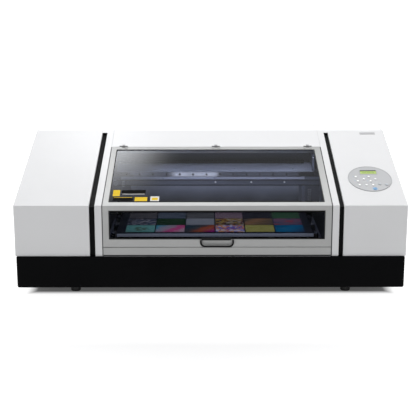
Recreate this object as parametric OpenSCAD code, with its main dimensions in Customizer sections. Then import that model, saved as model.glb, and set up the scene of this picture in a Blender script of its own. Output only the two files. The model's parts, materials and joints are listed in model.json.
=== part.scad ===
// Flatbed UV printer: white side boxes over a black base pan, a glazed front cover, and inside it
// a lifting media table on a sliding saddle, under a gantry beam with a print carriage.
// X runs to the right, Y to the back, Z up. The origin is the bottom centre of the whole machine.

/* [Body] */
// Overall width
body_w = 1560; // [1500:1:1620]
// Overall depth, from the handle to the back
body_d = 955; // [940:1:990]
// Overall height
body_h = 576; // [560:1:600]
// Height of the front edge, where the slope starts
fold_h = 383.5; // [370:0.5:395]
// Level length of the sloped top
slope_run = 654; // [630:1:680]
// Height of the feet under the base
foot_h = 47.5; // [40:0.5:50]
// Top of the black base
base_h = 176; // [170:1:178]
// Diameter of a foot
foot_d = 40; // [36:1:48]

/* [Front cover] */
// Left edge of the cover
cover_x0 = -428.6; // [-429:0.1:-428]
// Right edge of the cover
cover_x1 = 479.6; // [479:0.1:480]
// Length of the cover up the slope
cover_len = 516; // [500:1:516]
// Depth of the cover's frame bars
cover_t = 22; // [18:1:26]
// Thickness of the panes
glass_t = 4; // [3:0.5:5]
// How far the handle stands out of the front
handle_reach = 20; // [18:1:22]

/* [Print table] */
// Width of the table
table_w = 800; // [780:1:800]
// Depth of the table
table_d = 380; // [360:1:380]
// Thickness of the table
table_t = 12; // [10:1:14]
// Height of the table's top
table_top = 247; // [246:0.5:248]
// X of the table's centre
table_x = 17; // [15:1:19]

/* [Control panel] */
// Width of the oval
oval_w = 180; // [178:1:184]
// Length of the oval up the slope
oval_l = 214; // [210:1:216]
// Diameter of a white key
key_d = 9.6; // [9:0.1:10]
// Diameter of a grey key
wide_key_d = 14; // [12:0.5:15]

/* [Hidden] */
$fn = 48;
SHEET = 3;                       // wall of the pressed and moulded covers
LIP = 6;                         // how far the base stands in front of the white fronts
GAP = 0.4;                       // free play around what moves
RIM = 22;                        // turned-in rims of the shells

front_y = -body_d / 2 + handle_reach;
back_d = body_d - handle_reach;  // distance from the white fronts to the back
rise = body_h - fold_h;
slope_a = atan(rise / slope_run);
ridge_s = sqrt(rise * rise + slope_run * slope_run);
panel_d = back_d - 2;            // the back panel's outer face
inner_d = panel_d - SHEET;       // everything inside ends here

box_in_l = -482;                 // inner faces of the two side boxes
box_in_r = 528.5;
strip_l = [-460, -431];          // white strips beside the cover
strip_r = [482, 510];
strip_t = 12;
trim_end = 658;                  // where the dark channels end, up the slope

pan_x = body_w / 2 - 3;          // half width of the base
pan_back = back_d - 6;
pan_floor = foot_h + SHEET;
foot_x = 556;
foot_in = 110;                   // feet, from the front and the back

frame_l = [-452, -446];          // steel side frames of the print chamber
frame_r = [497, 503];

beam_d = [602, 678];             // gantry beam, from front to back
beam_z = [262, 396];
beam_x = [-446, 740];
rail_z = [377, 397];
rail_front = 592;
rail_pitch = 60;
belt_z = 349;
belt_d = [587, 597];
pulley_r = 11;
belt_t = 1.5;
pulley_x = [-425, 722];

saddle_x = [-418, 452];          // outer faces of the saddle's end plates
saddle_d = [103, 443];           // saddle, from front to back
saddle_z = 84;                   // underside of its floor plate
saddle_t = 6;
table_in = 83;                   // table's front edge, from the white front
rod_x = [-396, 430];
rod_d = [133, 413];
screw_d = 273;
rod_r = 6;
lift_motor_h = 22;
y_rail_x = [-250, 285];
y_rail_w = 20;
y_rail_z = 72;                   // top of the Y rails
y_screw_z = 72;

nozzle_z = 250;                  // underside of the print heads
carriage_x = [562, 752];         // carriage, parked over its station
carriage_d = [480, 578];
carriage_z = [262, 440];
head_x = [602, 662];             // left edges of the two heads
head_w = 42;
post_x = [600, 706];             // posts that guide the cap tray
post_r = 4;
wiper_x = 577;
wiper_rod_z = 172;

window_top = 363.7;              // front window
window_bottom = 245.5;
window_x = [-405, 454.5];
glass_s = [27.5, 493];         // slope window
glass_x = [-407, 454];
handle_x = 25;
seam_z = 214.5;                  // between the cover and the strip below it
rebate = 8;

axis_s = 517.2;                  // hinge axis, up the slope and above it
axis_n = 3.2;
hinge_x = [-378, 25, 426];
hinge_w = 36;
knuckle_r = 3;
pin_r = 1.6;

oval_x = 658.6;
oval_s = 221;
face_n = 1.5;                    // face of the control panel above the slope
lcd = [67.7, 32];
lcd_s = 277.5;
white_keys = [[-57, 16], [-3, 16], [-26, -3.5], [22, -3.5], [-53, -21.5], [0, -21.5],
              [-49, -54.5], [-21, -54.5], [6, -54.5]];
wide_keys = [[34, -45], [62, -50.5]];
power_key = [10, -87];

fan_x = 640;
fan_z = 400;
fan_r = 55;
fan_pin_r = 3;
inlet_x = -640;
inlet_z = 235;
switch_x = inlet_x + 54;
switch_pin_r = 2;

// Distances from the white front become Y
function fy(d) = front_y + d;
function slope_h(d) = d < slope_run ? fold_h + rise * d / slope_run : body_h;

// The side outline of the body, moved in by t on every side, as [Y, Z] points
function profile(t, bottom, back) = [
    [fy(t), bottom],
    [fy(t), slope_h(t) - t / cos(slope_a)],
    [fy(slope_run + (t / cos(slope_a) - t) * slope_run / rise), body_h - t],
    [fy(back), body_h - t],
    [fy(back), bottom]];

module block(x, d, z) translate([x[0], fy(d[0]), z[0]]) cube([x[1] - x[0], d[1] - d[0], z[1] - z[0]]);
module side_slab(x, points)
    translate([x[0], 0, 0]) rotate([90, 0, 90]) linear_extrude(x[1] - x[0]) polygon(points);
// A point S up the slope and N out of it, as [Y, Z]
function slope_point(s, n) = [front_y + s * cos(slope_a) - n * sin(slope_a),
    fold_h + s * sin(slope_a) + n * cos(slope_a)];
// The L-shaped side outline of the front cover
cover_outline = [[fy(0), seam_z], [fy(0), fold_h], slope_point(cover_len, 0),
    slope_point(cover_len, -cover_t),
    [fy(cover_t), slope_h(cover_t) - cover_t / cos(slope_a)], [fy(cover_t), seam_z]];
// Places a child in the slope's own frame: X, then the distance up the slope, then out of it
module on_slope() translate([0, front_y, fold_h]) rotate([slope_a, 0, 0]) children();
module slope_block(x, s, n) on_slope() translate([x[0], s[0], n[0]])
    cube([x[1] - x[0], s[1] - s[0], n[1] - n[0]]);
// A shaft along X, Y (front to back) or Z
module rod_along_x(x, d, z, r) translate([x[0], fy(d), z]) rotate([0, 90, 0])
    cylinder(h = x[1] - x[0], r = r);
module rod_along_y(x, d, z, r) translate([x, fy(d[0]), z]) rotate([-90, 0, 0])
    cylinder(h = d[1] - d[0], r = r);
module rod_along_z(x, d, z, r) translate([x, fy(d), z[0]]) cylinder(h = z[1] - z[0], r = r);
// An ellipse drawn from its formula
module ellipse(w, l) polygon([for (i = [0:5:355]) [w / 2 * cos(i), l / 2 * sin(i)]]);
// A rectangle with round corners
module round_rect(w, l, r) union() {
    square([w - 2 * r, l], center = true);
    square([w, l - 2 * r], center = true);
    for (x = [-1, 1], y = [-1, 1]) translate([x * (w / 2 - r), y * (l / 2 - r)]) circle(r);
}

module base_pan() color("#161718") {
    pan_d = pan_back + LIP;
    mid_y = fy((pan_back - LIP) / 2);
    difference() {
        intersection() {
            translate([0, mid_y, foot_h]) linear_extrude(base_h - foot_h) round_rect(2 * pan_x, pan_d, 10);
            translate([0, fy(pan_back + 1), (foot_h + base_h) / 2]) rotate([90, 0, 0])
                linear_extrude(pan_d + 2) round_rect(2 * pan_x, base_h - foot_h, 7);
        }
        translate([0, mid_y, pan_floor]) linear_extrude(base_h - foot_h - 2 * SHEET)
            round_rect(2 * (pan_x - SHEET), pan_d - 2 * SHEET, 7);
        translate([0, mid_y, base_h - 2 * SHEET]) linear_extrude(3 * SHEET)
            round_rect(2 * (pan_x - 27), pan_d - 54, 4);
    }
}

module feet() color("#101010")
    for (x = [-foot_x, foot_x], d = [foot_in, back_d - foot_in]) translate([x, fy(d), 0]) {
        cylinder(h = 3, r1 = foot_d / 2 - 2, r2 = foot_d / 2);
        translate([0, 0, 3]) cylinder(h = foot_h - 13, r = foot_d / 2);
        translate([0, 0, foot_h - 10]) cylinder(h = 10, r = foot_d / 2 - 4);
    }

// A side box: a shell on the body's outline with turned-in rims at the bottom and inner side
module side_cover(outer, inner) {
    toward = inner > outer ? 1 : -1;
    lo = min(outer, inner);
    hi = max(outer, inner);
    cavity = [lo + SHEET, hi - SHEET];
    difference() {
        side_slab([lo, hi], profile(0, base_h, back_d));
        side_slab(cavity, profile(SHEET, base_h + SHEET, back_d + 1));
        block([lo + RIM, hi - RIM], [RIM, back_d + 1], [base_h - 1, base_h + SHEET + 1]);
        side_slab(toward > 0 ? [hi - SHEET - 1, hi + 1] : [lo - 1, lo + SHEET + 1],
            profile(RIM, base_h + RIM, back_d + 1));
        block(toward > 0 ? [hi - SHEET - 1, hi + 1] : [lo - 1, lo + SHEET + 1], [inner_d, back_d + 1],
            [base_h + SHEET, body_h - SHEET]);
    }
}

module left_cover() color("#eceef0") side_cover(-body_w / 2, box_in_l);

module right_cover() color("#eceef0") difference() {
    side_cover(body_w / 2, box_in_r);
    on_slope() translate([oval_x, oval_s, -SHEET - 1]) linear_extrude(SHEET + 2)
        ellipse(oval_w - 10, oval_l - 10);
}

module trim_channels() color("#2a2b2d")
    for (x = [[box_in_l, strip_l[0]], [strip_r[1], box_in_r]]) difference() {
        side_slab(x, profile(10, base_h, inner_d));
        side_slab([x[0] - 1, x[1] + 1], profile(14, base_h - 1, inner_d + 1));
        block([x[0] - 1, x[1] + 1], [trim_end * cos(slope_a), back_d], [base_h - 1, body_h]);
    }

module inner_strips() color("#f0f1f2") for (side = [[strip_l, [box_in_l, strip_l[1]]],
                                                     [strip_r, [strip_r[0], box_in_r]]]) {
    difference() {
        side_slab(side[0], profile(0, base_h, inner_d));
        side_slab([side[0][0] - 1, side[0][1] + 1], profile(strip_t, base_h - 1, inner_d + 1));
    }
    intersection() {
        difference() {
            side_slab(side[1], profile(0, base_h, inner_d));
            side_slab([side[1][0] - 1, side[1][1] + 1], profile(strip_t, base_h - 1, inner_d + 1));
        }
        block([side[1][0] - 1, side[1][1] + 1], [trim_end * cos(slope_a), back_d], [base_h, body_h + 1]);
    }
}

module top_panel() color("#f2f3f4") difference() {
    side_slab([strip_l[1], strip_r[0]], profile(0, base_h, back_d));
    side_slab([strip_l[1] - 1, strip_r[0] + 1], profile(SHEET, base_h - 1, back_d + 1));
    on_slope() translate([strip_l[1] - 1, -50, -400])
        cube([strip_r[0] - strip_l[1] + 2, cover_len + 50 + 2.5, 500]);
    block([strip_l[1] - 1, strip_r[0] + 1], [-1, 200], [0, fold_h]);
}

module rear_panel() color("#d9dadb") {
    rod_along_y(fan_x, [inner_d - 22, inner_d], fan_z, fan_pin_r);
    rear_sheet();
}

module rear_sheet() difference() {
    side = body_w / 2 - SHEET;
    block([-side, side], [inner_d, panel_d], [base_h + SHEET, body_h - SHEET]);
    difference() {
        rod_along_y(fan_x, [inner_d - 1, panel_d + 1], fan_z, fan_r);
        rod_along_y(fan_x, [inner_d - 2, panel_d + 2], fan_z, 18);
        for (i = [0:2]) translate([fan_x, fy(inner_d - 2), fan_z]) rotate([0, i * 120 + 90, 0])
            translate([-3, 0, -3]) cube([fan_r + 5, 7, 6]);
    }
    block([inlet_x - 24, inlet_x + 24], [inner_d - 1, panel_d + 1], [inlet_z - 16, inlet_z + 16]);
    block([switch_x - 10, switch_x + 10], [inner_d - 1, panel_d + 1], [inlet_z - 13, inlet_z + 13]);
    for (col = [0:1], row = [0:7]) block([360 + col * 90 - 35, 360 + col * 90 + 35],
        [inner_d - 1, panel_d + 1], [340 + row * 16, 345 + row * 16]);
}

// A chamber side frame, cut from plate, standing on the base's floor and clear of its turned-in rim
module side_frame(x) difference() {
    side_slab(x, profile(strip_t + 1, pan_floor, inner_d - 3));
    for (d = [[0, 28], [895, back_d]]) block([x[0] - 1, x[1] + 1], d, [pan_floor - 1, base_h + 4]);
}

module left_side_frame() color("#565b63") difference() {
    side_frame(frame_l);
    block([frame_l[0] - 1, frame_l[1] + 1], [740, 890], [230, 520]);
}

module right_side_frame() color("#565b63") difference() {
    side_frame(frame_r);
    block([frame_r[0] - 1, frame_r[1] + 1], [462, 692], [232, 462]);
}

module gantry_beam() color("#6c727c") difference() {
    union() {
        block(beam_x, beam_d, beam_z);
        block([beam_x[1], beam_x[1] + 8], beam_d, [pan_floor, beam_z[1]]);
    }
    block([beam_x[0] - 1, beam_x[1]], [beam_d[0] + 5, beam_d[1] - 5], [beam_z[0] + 5, beam_z[1] - 5]);
    rod_along_y(pulley_x[1], [beam_d[0] - 1, beam_d[1] + 1], belt_z, 6);
}

module x_rail() color("#9aa0a8") difference() {
    block([-440, 739], [rail_front, beam_d[0]], rail_z);
    for (x = [-256 - 2 * rail_pitch : rail_pitch : 720])
        rod_along_y(x, [rail_front - 1, rail_front + 6], (rail_z[0] + rail_z[1]) / 2, 4);
}

module beam_covers() color("#7d848f") {
    // channel over the lower front of the beam
    block([-356, 400], [592, 595], [263, 335]);
    block([-356, 400], [595, beam_d[0]], [332, 335]);
    block([-356, 400], [595, beam_d[0]], [263, 266]);
    // strip under the rail
    block([-400, 426], [598, beam_d[0]], [363, 375]);
    // inclined plate over the beam
    translate([-420, fy(600), beam_z[1] + 2]) rotate([14, 0, 0]) cube([880, 92, 3]);
    block([-420, 460], [640, 670], [beam_z[1], beam_z[1] + 10]);
}

module carriage_motor() color("#26282b") {
    rod_along_y(pulley_x[1], [beam_d[1], beam_d[1] + 6], belt_z, 24);
    block([pulley_x[1] - 28, pulley_x[1] + 28], [beam_d[1] + 6, beam_d[1] + 62],
        [belt_z - 28, belt_z + 28]);
}

// The toothed belt as a flat loop round the two pulleys
module drive_belt() color("#1b1b1b") {
    outer = pulley_r + belt_t;
    span = pulley_x[1] - pulley_x[0];
    translate([pulley_x[0], fy(belt_d[1]), belt_z]) rotate([90, 0, 0]) linear_extrude(belt_d[1] - belt_d[0])
        difference() {
            union() {
                circle(outer);
                translate([span, 0]) circle(outer);
                translate([0, -outer]) square([span, 2 * outer]);
            }
            circle(pulley_r + 0.1);
            translate([span, 0]) circle(pulley_r + 0.1);
            translate([0, -pulley_r - 0.1]) square([span, 2 * pulley_r + 0.2]);
        }
}

module pulley(x, shaft_to) {
    rod_along_y(x, [belt_d[0] - 1, belt_d[1] + 1], belt_z, pulley_r);
    rod_along_y(x, [belt_d[0] - 2, belt_d[0] - 0.6], belt_z, pulley_r + 2);
    rod_along_y(x, [belt_d[1] + 1, shaft_to], belt_z, 4);
}
module drive_pulley() color("#b8bcc2") pulley(pulley_x[1], beam_d[1]);
module idler_pulley() color("#b8bcc2") pulley(pulley_x[0], beam_d[0] - 0.3);

// The capping and wiping station that the carriage parks over
module maintenance_base() color("#2c2e31") {
    difference() {
        block([562, 738], [484, 580], [pan_floor, 214]);
        block([566, 734], [488, 576], [pan_floor + 4, 215]);
    }
    for (x = post_x) rod_along_z(x, 532, [pan_floor + 4, 200], post_r);
    rod_along_y(wiper_x, [488, 576], wiper_rod_z, post_r);
}

module cap_tray() color("#3c3f44") {
    difference() {
        block([590, 716], [500, 564], [150, 226]);
        for (x = post_x) rod_along_z(x, 532, [149, 210], post_r + 0.06);
    }
    for (x = head_x) difference() {
        block([x, x + head_w], [504, 560], [226, nozzle_z - 0.6]);
        block([x + 3, x + head_w - 3], [507, 557], [236, nozzle_z]);
    }
}

module wiper() color("#7a1f1f") {
    difference() {
        block([wiper_x - 6.5, wiper_x + 6.5], [500, 520], [160, 224]);
        rod_along_y(wiper_x, [499, 521], wiper_rod_z, post_r + 0.06);
    }
    block([wiper_x - 1.5, wiper_x + 1.5], [502, 518], [224, nozzle_z - 0.4]);
}

module lower_front_strip() color("#a9acad") {
    block([cover_x0, cover_x1], [0, SHEET], [base_h, seam_z - 2]);
    block([cover_x0, cover_x1], [SHEET, RIM], [seam_z - 2 - SHEET, seam_z - 2]);
    block([cover_x0, cover_x1], [SHEET, RIM], [base_h, base_h + SHEET]);
}

module control_panel() color("#c9ccd0") on_slope() translate([oval_x, oval_s, 0]) difference() {
    union() {
        linear_extrude(face_n) ellipse(oval_w, oval_l);
        translate([0, 0, -2]) linear_extrude(2) ellipse(oval_w - 10.6, oval_l - 10.6);
    }
    translate([-lcd[0] / 2, lcd_s - oval_s - lcd[1] / 2, -3]) cube([lcd[0], lcd[1], 10]);
    for (k = white_keys) translate([k[0], k[1], -3]) cylinder(h = 10, r = key_d / 2 + GAP);
    for (k = concat(wide_keys, [power_key])) translate([k[0], k[1], -3])
        cylinder(h = 10, r = wide_key_d / 2 + GAP);
}

module lcd() color("#a9cb4e") on_slope() translate([oval_x - lcd[0] / 2, lcd_s - lcd[1] / 2, -2])
    cube([lcd[0], lcd[1], face_n + 1.2]);

// A key: a cap through the panel with a wider skirt under it
module key_cap(at, d) on_slope() translate([oval_x + at[0], oval_s + at[1], 0]) {
    translate([0, 0, -3]) cylinder(h = 3 + face_n + 1.5, r = d / 2);
    translate([0, 0, -5]) cylinder(h = 2.4, r = d / 2 + 1.2);
}
module white_key(i) color("#f7f8f8") key_cap(white_keys[i - 1], key_d);
module menu_key() color("#aeb2b7") key_cap(wide_keys[0], wide_key_d);
module enter_key() color("#aeb2b7") key_cap(wide_keys[1], wide_key_d);
module power_key() color("#3f86c8") key_cap(power_key, wide_key_d);

// A sheet box round the boards, open on the side that faces the middle of the machine
module electronics_box() color("#8d9299") {
    difference() {
        block([-744, -508], [560, 880], [pan_floor, 330]);
        block([-742, -507], [562, 878], [pan_floor + 2, 328]);
    }
    block([-742, -740], [580, 860], [80, 300]);
}

module ink_rack() color("#34373b") difference() {
    block([-744, -508], [300, 530], [pan_floor, 320]);
    for (i = [0:5]) block([-740.5 + i * 38.5, -705 + i * 38.5], [304, 531], [200, 321]);
    block([-740, -512], [299, 526], [pan_floor + 4, 196]);
}

module ink_cartridges() color("#1f2226") for (i = [0:5])
    block([-739.5 + i * 38.5, -706 + i * 38.5], [306, 536], [200, 300]);

module power_inlet() color("#111214") {
    block([inlet_x - 24, inlet_x + 24], [inner_d - 20, panel_d], [inlet_z - 16, inlet_z - 12]);
    block([inlet_x - 24, inlet_x + 24], [inner_d - 20, panel_d], [inlet_z + 12, inlet_z + 16]);
    block([inlet_x - 24, inlet_x - 20], [inner_d - 20, panel_d], [inlet_z - 12, inlet_z + 12]);
    block([inlet_x + 20, inlet_x + 24], [inner_d - 20, panel_d], [inlet_z - 12, inlet_z + 12]);
    block([inlet_x - 24, inlet_x + 24], [inner_d - 24, inner_d - 20], [inlet_z - 16, inlet_z + 16]);
    for (x = [-8, 0, 8]) block([inlet_x + x - 1, inlet_x + x + 1], [inner_d - 20, inner_d - 2],
        [inlet_z - 4, inlet_z + 4]);
    // the two cheeks that hold the switch's pin
    difference() {
        for (x = [40, 64]) block([switch_x - 54 + x, switch_x - 50 + x], [inner_d - 20, inner_d],
            [inlet_z - 16, inlet_z + 16]);
        rod_along_x([switch_x - 15, switch_x + 15], inner_d - 5, inlet_z, switch_pin_r + 0.06);
    }
    block([inlet_x + 24, switch_x - 14], [inner_d - 20, inner_d - 16], [inlet_z - 16, inlet_z + 16]);
}

// A rocker in the back panel, on a pin across it
module power_switch() color("#151515") {
    rod_along_x([switch_x - 13, switch_x + 13], inner_d - 5, inlet_z, switch_pin_r);
    block([switch_x - 9.4, switch_x + 9.4], [inner_d - 8, panel_d], [inlet_z - 9.5, inlet_z + 9.5]);
}

module fan_rotor() color("#1d1e20") {
    difference() {
        rod_along_y(fan_x, [inner_d - 26, inner_d - 2], fan_z, 20);
        rod_along_y(fan_x, [inner_d - 22.4, inner_d - 1], fan_z, fan_pin_r + 0.06);
    }
    for (i = [0:6]) translate([fan_x, fy(inner_d - 24), fan_z]) rotate([0, i * 360 / 7, 0])
        translate([18, 0, -1.2]) cube([fan_r - 22, 20, 2.4]);
}

// Fixed hinge halves: a leaf on the top panel, its knuckle and the pin
module hinge_leaves() color("#9b9ea2") for (x = hinge_x) on_slope() {
    translate([x - hinge_w / 6, axis_s + 1.4, 0]) cube([hinge_w / 3, 16, 1.5]);
    translate([x - hinge_w / 6, axis_s, 0.5]) cube([hinge_w / 3, 3, 1]);
    translate([x - hinge_w / 6, axis_s, axis_n]) rotate([0, 90, 0])
        cylinder(h = hinge_w / 3, r = knuckle_r);
    translate([x - hinge_w / 2, axis_s, axis_n]) rotate([0, 90, 0]) cylinder(h = hinge_w, r = pin_r);
}

module y_rails() color("#a3a8ae") for (x = y_rail_x)
    block([x - y_rail_w / 2, x + y_rail_w / 2], [60, 900], [pan_floor, y_rail_z]);

module y_motor() color("#26282b") difference() {
    union() {
        block([table_x - 21, table_x + 21], [874, 918], [pan_floor, y_screw_z + 21]);
        block([table_x - 16, table_x + 16], [40, 52], [pan_floor, y_screw_z + 12]);
    }
    rod_along_y(table_x, [873, 890], y_screw_z, rod_r + 0.05);
    rod_along_y(table_x, [44, 53], y_screw_z, rod_r + 0.05);
}

module y_screw() color("#b4b8bd") rod_along_y(table_x, [44.4, 889.6], y_screw_z, rod_r);

module saddle() color("#5d626a") difference() {
    union() {
        block(saddle_x, saddle_d, [saddle_z, saddle_z + saddle_t]);
        block([saddle_x[0], saddle_x[0] + 8], saddle_d, [saddle_z + saddle_t, 225]);
        block([saddle_x[1] - 8, saddle_x[1]], saddle_d, [saddle_z + saddle_t, 225]);
        block([table_x - 20, table_x + 20], [250, 290], [y_screw_z - 14, saddle_z]);
    }
    rod_along_y(table_x, [249, 291], y_screw_z, rod_r + 0.05);
    for (x = [-190, 17, 224]) block([x - 75, x + 75], [140, 230], [saddle_z - 1, saddle_z + saddle_t + 1]);
}

module saddle_blocks() color("#8f949b") for (x = y_rail_x, d = [120, 366]) difference() {
    block([x - 22, x + 22], [d, d + 60], [62, saddle_z]);
    block([x - y_rail_w / 2 - GAP, x + y_rail_w / 2 + GAP], [d - 1, d + 61], [61, y_rail_z + GAP]);
}

module guide_rods() color("#c3c7cc") for (x = rod_x, d = rod_d)
    rod_along_z(x, d, [saddle_z + saddle_t, table_top - 6], rod_r);

module lift_motors() color("#26282b") for (x = rod_x) difference() {
    block([x - 13.9, x + 13.9], [screw_d - 21, screw_d + 21],
        [saddle_z + saddle_t, saddle_z + saddle_t + lift_motor_h]);
    rod_along_z(x, screw_d, [saddle_z + saddle_t + 8, saddle_z + saddle_t + lift_motor_h + 1],
        rod_r + 0.05);
}

module lift_screw(x) color("#b4b8bd")
    rod_along_z(x, screw_d, [saddle_z + saddle_t + 8.4, table_top - 6], rod_r);
module lift_screw_left() lift_screw(rod_x[0]);
module lift_screw_right() lift_screw(rod_x[1]);

// The table with its guide bushes and lift nuts at both ends
module table_top() color("#6f7887") difference() {
    x0 = table_x - table_w / 2;
    x1 = table_x + table_w / 2;
    bush = [table_top - table_t - 22, table_top - table_t];
    union() {
        block([x0, x1], [table_in, table_in + table_d], [table_top - table_t, table_top]);
        for (d = concat(rod_d, [screw_d])) {
            block([rod_x[0] - 12, x0 + 20], [d - 12, d + 12], bush);
            block([x1 - 20, rod_x[1] + 12], [d - 12, d + 12], bush);
        }
    }
    for (x = rod_x, d = concat(rod_d, [screw_d]))
        rod_along_z(x, d, [bush[0] - 1, bush[1] + 1], rod_r + 0.06);
}

module carriage_housing() color("#3a3d43") difference() {
    union() {
        block(carriage_x, carriage_d, carriage_z);
        block([640, 680], [carriage_d[1], belt_d[1]], [belt_z + pulley_r + belt_t + 0.8, 368]);
    }
    block([carriage_x[0] + SHEET, carriage_x[1] - SHEET], [carriage_d[0] + SHEET, carriage_d[1] - SHEET],
        [carriage_z[0] + 6, carriage_z[1] - SHEET]);
    for (x = head_x) block([x, x + head_w], [504, 560], [carriage_z[0] - 1, carriage_z[0] + 7]);
}

module carriage_blocks() color("#a3a8ae") for (x = [585, 675]) difference() {
    block([x, x + 60], [carriage_d[1], 597], [370, 404]);
    block([x - 1, x + 61], [rail_front - GAP, 598], [rail_z[0] - GAP, rail_z[1] + GAP]);
}

module print_heads() color("#54585f") for (x = head_x) {
    block([x, x + head_w], [504, 560], [nozzle_z, 300]);
    block([x + 8, x + head_w - 8], [512, 552], [300, 345]);
}

module uv_lamps() color("#2a2c30") for (x = [carriage_x[0] - 20, carriage_x[1]]) difference() {
    block([x, x + 20], [492, 572], [255, 330]);
    block([x + 3, x + 17], [497, 567], [254, 260]);
}

module cover_frame() color("#c6c8ca") difference() {
    union() {
        side_slab([cover_x0, cover_x1], cover_outline);
        for (x = hinge_x, side = [-1, 1]) on_slope() translate([x + side * hinge_w / 3, axis_s, axis_n]) {
            rotate([0, 90, 0]) cylinder(h = hinge_w / 3 - GAP, r = knuckle_r, center = true);
            translate([-hinge_w / 6 + GAP / 2, -18, -axis_n - 1]) cube([hinge_w / 3 - GAP, 16.4, 2.5]);
            translate([-hinge_w / 6 + GAP / 2, -3, -axis_n + 0.5]) cube([hinge_w / 3 - GAP, 3, 1]);
        }
    }
    for (x = hinge_x) on_slope() translate([x, axis_s, axis_n]) rotate([0, 90, 0])
        cylinder(h = hinge_w + 1, r = pin_r + 0.06, center = true);
    slope_block(glass_x, glass_s, [-cover_t - 1, 1]);
    slope_block([glass_x[0] - rebate, glass_x[1] + rebate], [glass_s[0] - rebate, glass_s[1] + rebate],
        [-cover_t - 1, -SHEET]);
    block(window_x, [-1, cover_t + 1], [window_bottom, window_top]);
    block([window_x[0] - rebate, window_x[1] + rebate], [SHEET, cover_t + 1],
        [window_bottom - rebate, window_top + rebate]);
}

module top_glass() color([0.55, 0.6, 0.7, 0.35])
    slope_block([glass_x[0] - rebate, glass_x[1] + rebate], [glass_s[0] - rebate, glass_s[1] + rebate],
        [-SHEET - glass_t, -SHEET]);

module front_glass() color([0.35, 0.38, 0.42, 0.35])
    block([window_x[0] - rebate, window_x[1] + rebate], [SHEET, SHEET + glass_t],
        [window_bottom - rebate, window_top + rebate]);

// A bow handle: a bar bent into a U, hung from a mounting block on the window's sill
module handle() color("#202123") {
    half = 64.2;
    bow_r = 17;
    bar_r = 3.8;
    top_z = 240;
    low_z = 221;
    block([handle_x - 61, handle_x + 55], [-6, 0], [243, 254.5]);
    translate([handle_x, front_y, 0]) {
        for (side = [-1, 1]) {
            translate([side * half, 0, top_z]) rotate([90, 0, 0])
                cylinder(h = handle_reach - bar_r, r = bar_r);
            translate([side * half, -handle_reach + bar_r, top_z]) sphere(r = bar_r);
            translate([side * half, -handle_reach + bar_r, low_z + bow_r])
                cylinder(h = top_z - low_z - bow_r, r = bar_r);
            translate([side * (half - bow_r), -handle_reach + bar_r, low_z + bow_r]) rotate([90, 0, 0])
                rotate([0, 0, side > 0 ? 270 : 180]) rotate_extrude(angle = 90)
                    translate([bow_r, 0]) circle(bar_r);
        }
        translate([-half + bow_r, -handle_reach + bar_r, low_z]) rotate([0, 90, 0])
            cylinder(h = 2 * (half - bow_r), r = bar_r);
    }
}

base_pan();
feet();
left_cover();
right_cover();
trim_channels();
inner_strips();
top_panel();
rear_panel();
left_side_frame();
right_side_frame();
gantry_beam();
x_rail();
beam_covers();
carriage_motor();
drive_belt();
drive_pulley();
idler_pulley();
maintenance_base();
cap_tray();
wiper();
lower_front_strip();
control_panel();
lcd();
electronics_box();
ink_rack();
ink_cartridges();
power_inlet();
power_switch();
fan_rotor();
hinge_leaves();
y_rails();
y_motor();
y_screw();
saddle();
saddle_blocks();
guide_rods();
lift_motors();
lift_screw_left();
lift_screw_right();
table_top();
carriage_housing();
carriage_blocks();
print_heads();
uv_lamps();
cover_frame();
top_glass();
front_glass();
handle();
white_key(1);  // key_1
white_key(2);  // key_2
white_key(3);  // key_3
white_key(4);  // key_4
white_key(5);  // key_5
white_key(6);  // key_6
white_key(7);  // key_7
white_key(8);  // key_8
white_key(9);  // key_9
menu_key();
enter_key();
power_key();
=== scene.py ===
"""Looks of the flatbed UV printer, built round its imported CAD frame.

Sections: places read from the frame, node helpers and materials, mesh helpers, the pieces, the studio.
"""
import json
import math

import bmesh
import bpy
from mathutils import Matrix, Vector


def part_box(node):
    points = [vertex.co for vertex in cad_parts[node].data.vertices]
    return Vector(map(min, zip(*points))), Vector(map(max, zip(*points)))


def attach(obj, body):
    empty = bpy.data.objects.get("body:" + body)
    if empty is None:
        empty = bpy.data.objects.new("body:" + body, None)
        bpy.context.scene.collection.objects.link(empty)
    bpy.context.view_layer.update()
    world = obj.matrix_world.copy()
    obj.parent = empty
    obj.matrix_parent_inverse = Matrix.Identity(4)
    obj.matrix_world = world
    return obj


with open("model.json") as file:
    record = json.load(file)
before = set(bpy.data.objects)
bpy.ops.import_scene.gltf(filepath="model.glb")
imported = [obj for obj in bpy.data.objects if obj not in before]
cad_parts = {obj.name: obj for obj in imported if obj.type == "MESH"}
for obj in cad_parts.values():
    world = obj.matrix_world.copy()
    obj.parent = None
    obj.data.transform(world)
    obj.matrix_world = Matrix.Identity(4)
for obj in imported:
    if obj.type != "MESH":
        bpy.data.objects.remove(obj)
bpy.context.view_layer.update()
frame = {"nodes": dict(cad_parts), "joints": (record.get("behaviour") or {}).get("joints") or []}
NODES = frame["nodes"]
JOINTS = {j["name"]: j for j in frame["joints"]}
MM = 0.001


# ---------------------------------------------------------------- places, read from the frame
FRONT_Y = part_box("left_cover")[0].y
FOLD_Z = max(v.co.z for v in NODES["left_cover"].data.vertices if v.co.y < FRONT_Y + 1e-4)
PRESS = Vector(JOINTS["key_1_press"]["axis"])          # into the slope
FOLD = Vector((0, FRONT_Y, FOLD_Z))                     # where the front turns into the slope
SLOPE_A = math.atan2(PRESS.y, -PRESS.z)
UP_SLOPE = Vector((0, math.cos(SLOPE_A), math.sin(SLOPE_A)))
OUT = -PRESS
SLOPE_TURN = Matrix.Rotation(SLOPE_A, 4, "X")


def slope_place(x, s, n=0.0):
    """A matrix that puts a piece made flat at the origin at X, s up the slope and n out of it."""
    return Matrix.Translation(Vector((x, FRONT_Y, FOLD_Z)) + UP_SLOPE * s + OUT * n) @ SLOPE_TURN


def slope_s(point):
    """How far up the slope a point is."""
    return (point - FOLD).dot(UP_SLOPE)


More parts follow.
